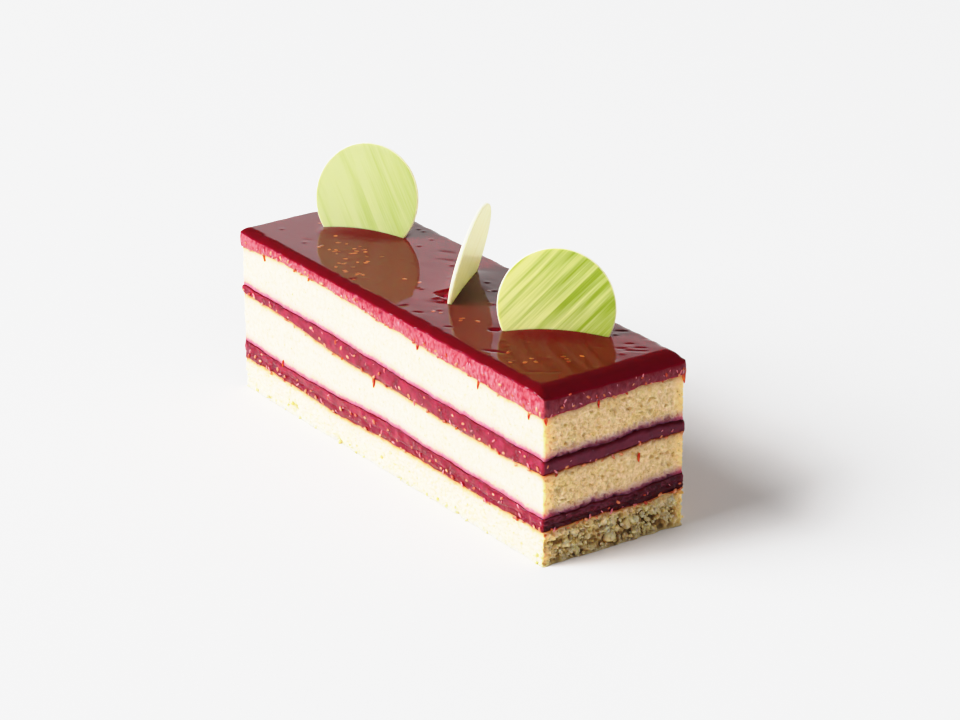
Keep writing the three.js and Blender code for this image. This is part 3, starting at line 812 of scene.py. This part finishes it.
def shape_jelly(jelly):
    """Bends the flat block of jelly to its sloping edges, its wavy underside and its rounded corners."""
    x, y, t = points_of(jelly)
    t = np.clip(t * MM, 0, 1)
    half = np.array([LENGTH / 2 - CORNER, WIDTH / 2 - CORNER])
    off_x, off_y = (v - np.clip(v, -h, h) for v, h in zip((x, y), half))
    squeeze = np.maximum(abs(off_x), abs(off_y)) / np.maximum(np.hypot(off_x, off_y), 1e-6)
    x, y = x - off_x * (1 - squeeze), y - off_y * (1 - squeeze)
    end_width = np.where(x > 0, SHOULDERS["right"][0], SHOULDERS["left"][0])
    side_width = np.where(y > 0, SHOULDERS["far"][0], SHOULDERS["near"][0])
    wander = CREST_WANDER * (bumps(x, y, 0, 3, seed=36) + 0.5 * bumps(x, y, 0, 1.2, seed=37) - 0.75)
    near_end = np.clip(1 - (LENGTH / 2 - abs(x)) / (end_width + wander), 0, 1)
    near_side = np.clip(1 - (WIDTH / 2 - abs(y)) / (side_width + wander), 0, 1)
    inward = np.clip(1 - (near_end**4 + near_side**4) ** 0.25, 0, 1)
    at_end = near_end**2 / np.maximum(near_end**2 + near_side**2, 1e-6)
    end_drop = np.where(x > 0, SHOULDERS["right"][1], SHOULDERS["left"][1])
    side_drop = np.where(y > 0, SHOULDERS["far"][1], SHOULDERS["near"][1])
    drop = side_drop + (end_drop - side_drop) * at_end
    wobble = WOBBLE * (bumps(x, y, 0, 5, seed=31) - 0.5)
    surface = jelly_top(x, y) - drop * (1 - np.sin(inward * math.pi / 2)) + wobble * (1 - inward)
    low = top_sponge_top(x, y)
    z = np.where(t > 0.999, surface, low + (JELLY_TOP - drop + wobble - low) * t)
    out_x, out_y = outward(x, y)
    torn_up = np.clip(bumps(x, y, 0.6 * z, 1.3, seed=35) - 0.7, 0, 1)
    flecks = bumps(x, y, 0.45 * z, FLECK_SIZE, seed=34) - 0.5 + 0.6 * torn_up
    wavy_cut = WAVY_CUT * (bumps(x, y, 0.7 * z, 3.2, seed=33) - 0.5)
    out = JELLY_BULGE * np.sin(math.pi * t) + wavy_cut + FLECK_DEPTH * flecks
    set_points(jelly, x + out_x * out, y + out_y * out, z)


bpy.ops.object.select_all(action="DESELECT")
bpy.ops.mesh.primitive_grid_add(
    x_subdivisions=JELLY_COLUMNS, y_subdivisions=JELLY_LINES, size=1, location=(0, 0, 1))
jelly = bpy.context.object
jelly.scale = (LENGTH * MM, WIDTH * MM, 1)
bpy.ops.object.transform_apply(location=True, rotation=True, scale=True)
jelly.name = "raspberry_jelly"
bpy.ops.object.mode_set(mode="EDIT")
select_edges(jelly, lambda start, along, edge: edge.is_boundary)
for row in range(JELLY_ROWS):
    bpy.ops.mesh.extrude_edges_move(TRANSFORM_OT_translate={"value": (0, 0, -1 / JELLY_ROWS)})
close_ends(jelly)
bpy.ops.mesh.select_all(action="SELECT")
bpy.ops.mesh.normals_make_consistent(inside=False)
bpy.ops.object.mode_set(mode="OBJECT")
bpy.ops.object.shade_smooth()
shape_jelly(jelly)


def place_in_jelly(piece, disc):
    """Moves a piece made flat on the origin to a disc's place, and applies the move."""
    right, up, front = disc_axes(disc)
    turn = Matrix((right, up, front)).transposed().to_4x4()
    middle = Vector((disc["x"], disc["y"], JELLY_TOP + disc["above"])) * MM
    piece.data.transform(Matrix.Translation(middle) @ turn)


# Clear raspberry jelly: a mirror on top, brighter red at its edges and mottled pink at its cut sides. Painted
# light is in its colour: painted shade darkens the level top, where one looks down into it, and the ends, and
# the pink of the cut sides is partly a painted sheen of the light that comes in from the side.
raspberry_jelly, tree, shader = new_material("clear_raspberry_jelly")
place = add_node(tree, "TexCoord").outputs["Object"]
facing_up = add_node(tree, "SeparateXYZ", {
    0: add_node(tree, "NewGeometry").outputs["Normal"]}).outputs["Z"]
drawn_down = add_node(tree, "Mapping", {
    "Vector": place, "Scale": (1, 1, 0.6)}).outputs["Vector"]
cut_grain = add_node(tree, "TexNoise", {
    "Vector": drawn_down, "Scale": per(1.1), "Detail": 3, "Roughness": 0.55}).outputs["Fac"]
mottled = add_node(tree, "MapRange", {
    "Value": cut_grain, "From Min": 0.36, "From Max": 0.66}).outputs["Result"]
cut_face = add_node(tree, "Mix", {
    0: mottled, 6: linear("#8C1A2E"), 7: linear("#C45E68")}, data_type="RGBA").outputs[2]
# Painted shade on the ends.
cut_face = add_node(tree, "Mix", {
    0: end_shade_share(tree, 0.7), 6: cut_face, 7: linear("#5A2434")}, data_type="RGBA").outputs[2]
rounding_off = add_node(tree, "MapRange", {
    "Value": facing_up, "From Min": 0.1, "From Max": 0.45}).outputs["Result"]
colour = add_node(tree, "Mix", {
    0: rounding_off, 6: cut_face, 7: linear("#6E0420")}, data_type="RGBA").outputs[2]
# Painted shade on the level top, where one looks down into the jelly.
level_top = add_node(tree, "MapRange", {
    "Value": facing_up, "From Min": 0.6, "From Max": 0.92}).outputs["Result"]
colour = add_node(tree, "Mix", {
    0: level_top, 6: colour, 7: linear("#560510")}, data_type="RGBA").outputs[2]
wetness = add_node(tree, "MapRange", {
    "Value": facing_up, "From Min": 0.2, "From Max": 0.6, "To Min": 0.2, "To Max": 0.04}).outputs["Result"]
cut_bump = add_node(tree, "MapRange", {
    "Value": facing_up, "From Min": 0.2, "From Max": 0.6, "To Min": 0.8, "To Max": 0}).outputs["Result"]
bump = add_node(tree, "Bump", {
    "Strength": cut_bump, "Distance": 0.5 * MM, "Height": cut_grain}).outputs["Normal"]
plug(tree, shader, {
    "Base Color": colour, "Normal": bump, "Roughness": wetness, "IOR": 1.33, "Specular IOR Level": 0.35,
    "Subsurface Weight": 0.85, "Subsurface Radius": (1, 0.07, 0.06), "Subsurface Scale": 4 * MM})
jelly.data.materials.append(raspberry_jelly)

for name, disc in DISCS.items():
    bpy.ops.mesh.primitive_cylinder_add(
        vertices=96, radius=(DISC_DIAMETER / 2 + SLOT_CLEARANCE) * MM,
        depth=(DISC_THICKNESS + 2 * SLOT_CLEARANCE) * MM)
    slot_cutter = bpy.context.object
    place_in_jelly(slot_cutter, disc)
    for cut in (jelly, sponge_top):
        slot = cut.modifiers.new("slot", "BOOLEAN")
        slot.object = slot_cutter
        slot.operation = "DIFFERENCE"
        slot.solver = "MANIFOLD"
        bpy.context.view_layer.objects.active = cut
        bpy.ops.object.modifier_apply(modifier=slot.name)
    bpy.data.objects.remove(slot_cutter)

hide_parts("jelly_top")
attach(jelly, "root")


# ----------------------------------------------------------------------
# Chocolate discs: white chocolate coloured pale green, brushed in strokes on a sheet, spread 1.3 mm thin and
# stamped out round. They are pushed into the jelly on edge.

# The direction of the strokes in degrees and their breadth, how much greener they get to the right in each
# mm, their two colours, and the shares of the brushed pattern where the green starts and is full.
STROKES = {
    # The left disc's colours are darkened as painted shade, because the window lights it more than the right
    # one.
    "left": (-60, 4.5, 0.004, "#A8AE74", "#909C46", (0.44, 0.7)),
    "middle": (50, 3, 0, "#FFF4CC", "#EFE0A0", (0.5, 0.75)),
    "right": (47, 2.8, 0.004, "#CCCC84", "#889C2A", (0.4, 0.62)),
}
STROKE_LENGTH, BRISTLE = 60, 0.5
RIM_FROM, RIM_FULL, RIM_CREAM = 17.65, 17.95, "#EFE9C2"
FLAT_INSET = 0.4

for name, disc in DISCS.items():
    bpy.ops.object.select_all(action="DESELECT")
    bpy.ops.mesh.primitive_cylinder_add(
        vertices=128, radius=DISC_DIAMETER / 2 * MM, depth=DISC_THICKNESS * MM)
    disc_piece = bpy.context.object
    disc_piece.name = f"white_chocolate_disc_{name}"
    bpy.ops.object.mode_set(mode="EDIT")
    select_edges(disc_piece, lambda start, along, edge: abs(along.z) < 0.1)
    bpy.ops.mesh.bevel(offset=DISC_EDGE_ROUND * MM, segments=4)
    select_faces(disc_piece, lambda face: len(face.verts) > 4)
    bpy.ops.mesh.inset(thickness=FLAT_INSET * MM)
    bpy.ops.object.mode_set(mode="OBJECT")
    bpy.ops.object.shade_smooth_by_angle(angle=math.radians(40))
    x, y, z = points_of(disc_piece)
    corners = np.zeros(len(disc_piece.data.loops), int)
    disc_piece.data.loops.foreach_get("vertex_index", corners)
    flat_map = disc_piece.data.uv_layers.active or disc_piece.data.uv_layers.new()
    flat_map.data.foreach_set("uv", (np.stack([x, y], -1) * MM)[corners].ravel())
    place_in_jelly(disc_piece, disc)

    # White chocolate, coloured: satin with a soft shine, low brush ridges, pale cream streaked with green.
    angle, stroke, more_to_right, pale, green, green_from = STROKES[name]
    brushed_chocolate, tree, shader = new_material(f"brushed_white_chocolate_{name}")
    on_disc = add_node(tree, "TexCoord").outputs["UV"]
    broad, fine = (
        add_node(tree, "Mapping", {
            "Vector": on_disc, "Rotation": (0, 0, math.radians(angle)),
            "Scale": (STROKE_LENGTH * MM, across * MM, 1)}, vector_type="TEXTURE").outputs["Vector"]
        for across in (stroke, BRISTLE))
    broad = add_node(tree, "TexNoise", {
        "Vector": broad, "Scale": 1, "Detail": 3, "Roughness": 0.6}).outputs["Fac"]
    fine = add_node(tree, "TexNoise", {"Vector": fine, "Scale": 1, "Detail": 2}).outputs["Fac"]
    both = add_node(tree, "Mix", {0: 0.22, 2: broad, 3: fine}).outputs[0]
    sideways = add_node(tree, "SeparateXYZ", {0: on_disc}).outputs["X"]
    share = add_node(tree, "Math", {
        0: sideways, 1: more_to_right / MM, 2: both}, operation="MULTIPLY_ADD").outputs[0]
    greener = add_node(tree, "MapRange", {
        "Value": share, "From Min": green_from[0], "From Max": green_from[1]}).outputs["Result"]
    colour = add_node(tree, "Mix", {
        0: greener, 6: linear(pale), 7: linear(green)}, data_type="RGBA").outputs[2]
    from_middle = add_node(tree, "VectorMath", {0: on_disc}, operation="LENGTH").outputs["Value"]
    rim = add_node(tree, "MapRange", {
        "Value": from_middle, "From Min": RIM_FROM * MM, "From Max": RIM_FULL * MM}).outputs["Result"]
    colour = add_node(tree, "Mix", {
        0: rim, 6: colour, 7: linear(RIM_CREAM)}, data_type="RGBA").outputs[2]
    bump = add_node(tree, "Bump", {
        "Strength": 0.5, "Distance": 0.15 * MM, "Height": both}).outputs["Normal"]
    plug(tree, shader, {
        "Base Color": colour, "Normal": bump, "Roughness": 0.38, "IOR": 1.45,
        "Subsurface Weight": 0.8, "Subsurface Radius": (1, 0.9, 0.7), "Subsurface Scale": 2.5 * MM})
    disc_piece.data.materials.append(brushed_chocolate)
    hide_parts(f"chocolate_disc_{name}")
    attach(disc_piece, "root")


# ----------------------------------------------------------------------
# Juice runs: where the knife came through, juice and torn jelly ran down a few millimetres over the sponge
# and set there.

# The place along the side, the height of the top, the length and the width of each.
RUNS_ON_SIDE = [
    (19, 49.4, 2.6, 1.3), (51.5, 49.2, 4.2, 0.8), (77.5, 47.6, 3.2, 1.2), (76.2, 48.6, 1.8, 0.8),
    (-6, 30, 4, 1.6), (-43, 51.2, 1.6, 0.8), (-70, 50.4, 2.2, 1), (30, 49.3, 1.4, 0.7), (4, 50.2, 1.2, 0.7),
    (62, 29.2, 1.3, 0.8), (-24, 30.8, 1.6, 0.9), (40, 29.2, 1.2, 0.6), (-60, 17.4, 2.6, 0.5)]
RUNS_ON_END = [
    (-24.6, 48.2, 3.4, 1.5), (-5.9, 48.8, 3.2, 0.8), (11, 50.4, 1.5, 0.9), (25.2, 51.6, 5.5, 1.8),
    (8.8, 28, 3.2, 1.3)]
RUN_THICKNESS = 0.4
INTO_SIDE, INTO_END = 0.25, 0.2

run_places = [(x, -WIDTH / 2 + INTO_SIDE, 0, *run) for x, *run in RUNS_ON_SIDE]
run_places += [(LENGTH / 2 - INTO_END, y, math.pi / 2, *run) for y, *run in RUNS_ON_END]
juice_runs = []
for x, y, turn, top, length, width in run_places:
    bpy.ops.object.select_all(action="DESELECT")
    bpy.ops.mesh.primitive_uv_sphere_add(segments=14, ring_count=12, radius=MM)
    run = bpy.context.object
    across, out, up = points_of(run)
    down = (1 - up) / 2
    ragged = 1 + 0.5 * (bumps(across + x, out, 2 * up + y, 0.5, seed=61) - 0.5)
    narrowing = (1 - 0.55 * down) * ragged * width / 2
    bend = 0.3 * np.sin(3 * down + x)
    set_points(run, across * narrowing + bend, out * RUN_THICKNESS * ragged, top - length * down)
    run.data.transform(Matrix.Translation(Vector((x, y, 0)) * MM) @ Matrix.Rotation(turn, 4, "Z"))
    bpy.ops.object.shade_smooth()
    juice_runs.append(run)
for run in juice_runs:
    run.select_set(True)
bpy.ops.object.join()
juice_runs = bpy.context.object
juice_runs.name = "juice_runs"

# Set raspberry juice, thin enough for the pale sponge to show through it as orange red.
thin_juice, tree, shader = new_material("set_raspberry_juice")
place = add_node(tree, "TexCoord").outputs["Object"]
thickness = add_node(tree, "TexNoise", {
    "Vector": place, "Scale": per(1.2), "Detail": 3}).outputs["Fac"]
thin = add_node(tree, "MapRange", {
    "Value": thickness, "From Min": 0.4, "From Max": 0.62}).outputs["Result"]
colour = add_node(tree, "Mix", {
    0: thin, 6: linear("#A3131C"), 7: linear("#D9662E")}, data_type="RGBA").outputs[2]
bump = add_node(tree, "Bump", {
    "Strength": 0.6, "Distance": 0.15 * MM, "Height": thickness}).outputs["Normal"]
plug(tree, shader, {
    "Base Color": colour, "Normal": bump, "Roughness": 0.15, "IOR": 1.37,
    "Subsurface Weight": 0.6, "Subsurface Radius": (1, 0.3, 0.15), "Subsurface Scale": 1.5 * MM})
juice_runs.data.materials.append(thin_juice)
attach(juice_runs, "root")


# ----------------------------------------------------------------------
# Raspberry seeds: hard tan seeds, up to 2 mm long, left in the jam and the jelly. Some stand out of the cut
# sides, wet with juice, among small scraps that the knife tore from jam and jelly, and some lie just under
# the jelly's clear top.

# Half the length, width and thickness of a seed and of a scrap.
SEED = (0.95, 0.52, 0.4)
SCRAP = (0.75, 0.24, 0.22)
# How far seeds stay from a corner and, in the side, below the top of the jelly.
CORNER_CLEARANCE, JELLY_SHOULDER = 1.5, 2.4
# How deep seeds lie under the jelly's top, and how level it has to be there.
SUNK_UNDER_TOP, LEVEL_ENOUGH = 0.12, 0.25
# Where seeds lie under the jelly's top: lowest and highest x, lowest and highest y, and how many.
SEED_PATCHES = [(-60, -22, -20, -3, 30), (12, 38, -19, -8, 4), (42, 74, -17, 2, 8), (-78, 76, -21, 22, 20)]


def smooth_bit(size):
    """A smooth seed or scrap at the origin, with half sizes in mm."""
    bpy.ops.object.select_all(action="DESELECT")
    bpy.ops.mesh.primitive_uv_sphere_add(segments=8, ring_count=6, radius=1 * MM, scale=size)
    bpy.ops.object.transform_apply(scale=True)
    bpy.ops.object.shade_smooth()
    return bpy.context.object


def round_the_cake(share):
    """The point on the outline and the direction outwards, a share of the way round the cake."""
    way = share * 2 * (LENGTH + WIDTH)
    sides = [
        ((-1, -1), (1, 0), LENGTH), ((1, -1), (0, 1), WIDTH),
        ((1, 1), (-1, 0), LENGTH), ((-1, 1), (0, -1), WIDTH)]
    for corner, along, side_length in sides:
        if way <= side_length:
            way = min(max(way, CORNER_CLEARANCE), side_length - CORNER_CLEARANCE)
            start = Vector((corner[0] * LENGTH / 2, corner[1] * WIDTH / 2, 0))
            along = Vector((*along, 0))
            return start + along * way, Vector((along.y, -along.x, 0))
        way -= side_length
    return round_the_cake(0)


def seed_places(count, sizes, bottom, top, low, high, upright, bulge):
    """Places for seeds in the cut sides, at heights from `low` to `high` between two levels. `sizes` are the
    smallest and the largest, `upright` is the share of them that stands, and `bulge` how far the side stands
    out half way up."""
    places = []
    for i in range(count):
        at, out = round_the_cake((i + random.random()) / count)
        x, y = np.array([at.x]), np.array([at.y])
        share = low + (high - low) * random.random() ** 1.5
        at.z = (bottom(x, y) * (1 - share) + top(x, y) * share)[0]
        at += out * (random.uniform(-0.25, 0.12) + bulge * math.sin(math.pi * min(max(share, 0), 1)))
        lie = Matrix.Rotation(random.uniform(-0.9, 0.9) + math.pi / 2 * (random.random() < upright), 4, "Z")
        face_out = Matrix.Rotation(math.atan2(out.y, out.x) + math.pi / 2, 4, "Z")
        stand = face_out @ Matrix.Rotation(math.pi / 2, 4, "X")
        size = random.uniform(*sizes)
        places.append(Matrix.Translation(at * MM) @ stand @ lie @ Matrix.Scale(size, 4))
    return places


# Wet raspberry seed: pale tan to orange, darker where juice covers it, with a sharp wet highlight.
wet_seed, tree, shader = new_material("wet_raspberry_seed")
place = add_node(tree, "TexCoord").outputs["Object"]
which = add_node(tree, "TexNoise", {"Vector": place, "Scale": per(5), "Detail": 1}).outputs["Fac"]
juicier = add_node(tree, "MapRange", {
    "Value": which, "From Min": 0.4, "From Max": 0.6}).outputs["Result"]
colour = add_node(tree, "Mix", {
    0: juicier, 6: linear("#DE8E6A"), 7: linear("#B2452E")}, data_type="RGBA").outputs[2]
pits = add_node(tree, "TexVoronoi", {"Vector": place, "Scale": per(0.4)}).outputs["Distance"]
bump = add_node(tree, "Bump", {
    "Strength": 0.5, "Distance": 0.06 * MM, "Height": pits}).outputs["Normal"]
plug(tree, shader, {
    "Base Color": colour, "Normal": bump, "Roughness": 0.15, "IOR": 1.45,
    "Subsurface Weight": 0.3, "Subsurface Radius": (1, 0.4, 0.2), "Subsurface Scale": 0.8 * MM})

# Seed seen through a thin layer of red jelly: orange red.
seed_in_jelly, tree, shader = new_material("raspberry_seed_under_jelly")
place = add_node(tree, "TexCoord").outputs["Object"]
which = add_node(tree, "TexNoise", {"Vector": place, "Scale": per(3), "Detail": 1}).outputs["Fac"]
deeper = add_node(tree, "MapRange", {
    "Value": which, "From Min": 0.4, "From Max": 0.6}).outputs["Result"]
colour = add_node(tree, "Mix", {
    0: deeper, 6: linear("#AA4826"), 7: linear("#7C2418")}, data_type="RGBA").outputs[2]
plug(tree, shader, {"Base Color": colour, "Roughness": 0.1, "Specular IOR Level": 0.35})

# Torn jelly: the same jelly in thin wet scraps, each with a sharp highlight, and coloured lighter as a
# painted glint.
torn_jelly, tree, shader = new_material("torn_raspberry_jelly")
plug(tree, shader, {
    "Base Color": linear("#DC7C86"), "Roughness": 0.12, "IOR": 1.37,
    "Subsurface Weight": 0.7, "Subsurface Radius": (1, 0.2, 0.15), "Subsurface Scale": 1.5 * MM})

jelly_wall_top = level([JELLY_TOP - JELLY_SHOULDER] * 7, [0, 0], 0, 9)
# Of each kind: half sizes, material, number, sizes, the levels it lies between and its lowest and highest
# share of the height between them, the share that stands upright, and the bulge of the side.
for name, size, material, *where in [
    ("seeds_in_lower_jam", SEED, wet_seed, 120, (0.5, 1), base_top, lower_jam_top, -0.1, 0.8, 0.25, 0),
    ("seeds_in_upper_jam", SEED, wet_seed, 110, (0.5, 1), middle_top, upper_jam_top, -0.15, 0.8, 0.25, 0.1),
    ("seeds_in_jelly_side", SEED, wet_seed, 150, (0.5, 1),
     top_sponge_top, jelly_wall_top, -0.12, 0.9, 0.4, 0.35),
    ("scraps_on_lower_jam", SCRAP, torn_jelly, 90, (0.4, 1.4), base_top, lower_jam_top, 0, 0.9, 0.7, 0),
    ("scraps_on_upper_jam", SCRAP, torn_jelly, 80, (0.4, 1.4), middle_top, upper_jam_top, 0, 0.9, 0.7, 0.1),
    ("scraps_on_jelly_side", SCRAP, torn_jelly, 230, (0.35, 1.2),
     top_sponge_top, jelly_wall_top, 0, 0.85, 0.85, 0.35),
]:
    seeds = scatter(name, [smooth_bit(size)], seed_places(*where))
    seeds.data.materials.append(material)
    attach(seeds, "root")

sunk_places = []
for low_x, high_x, low_y, high_y, count in SEED_PATCHES:
    for _ in range(count):
        x, y = random.uniform(low_x, high_x), random.uniform(low_y, high_y)
        flat = jelly_top(np.array([x]), np.array([y]))[0]
        if abs(flat - JELLY_TOP) < LEVEL_ENOUGH:
            turn = Matrix.Rotation(random.gauss(0.9, 0.8), 4, "Z")
            size = Matrix.Diagonal((random.uniform(0.7, 1.3), random.uniform(0.9, 1.6), 0.7, 1))
            at = Vector((x, y, flat - SUNK_UNDER_TOP)) * MM
            sunk_places.append(Matrix.Translation(at) @ turn @ size)
sunk_seeds = scatter("seeds_under_jelly_top", [smooth_bit(SEED)], sunk_places)
x, y, z = points_of(sunk_seeds)
set_points(sunk_seeds, x, y, np.minimum(z, jelly_top(x, y) + 0.02))
sunk_seeds.data.materials.append(seed_in_jelly)
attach(sunk_seeds, "root")
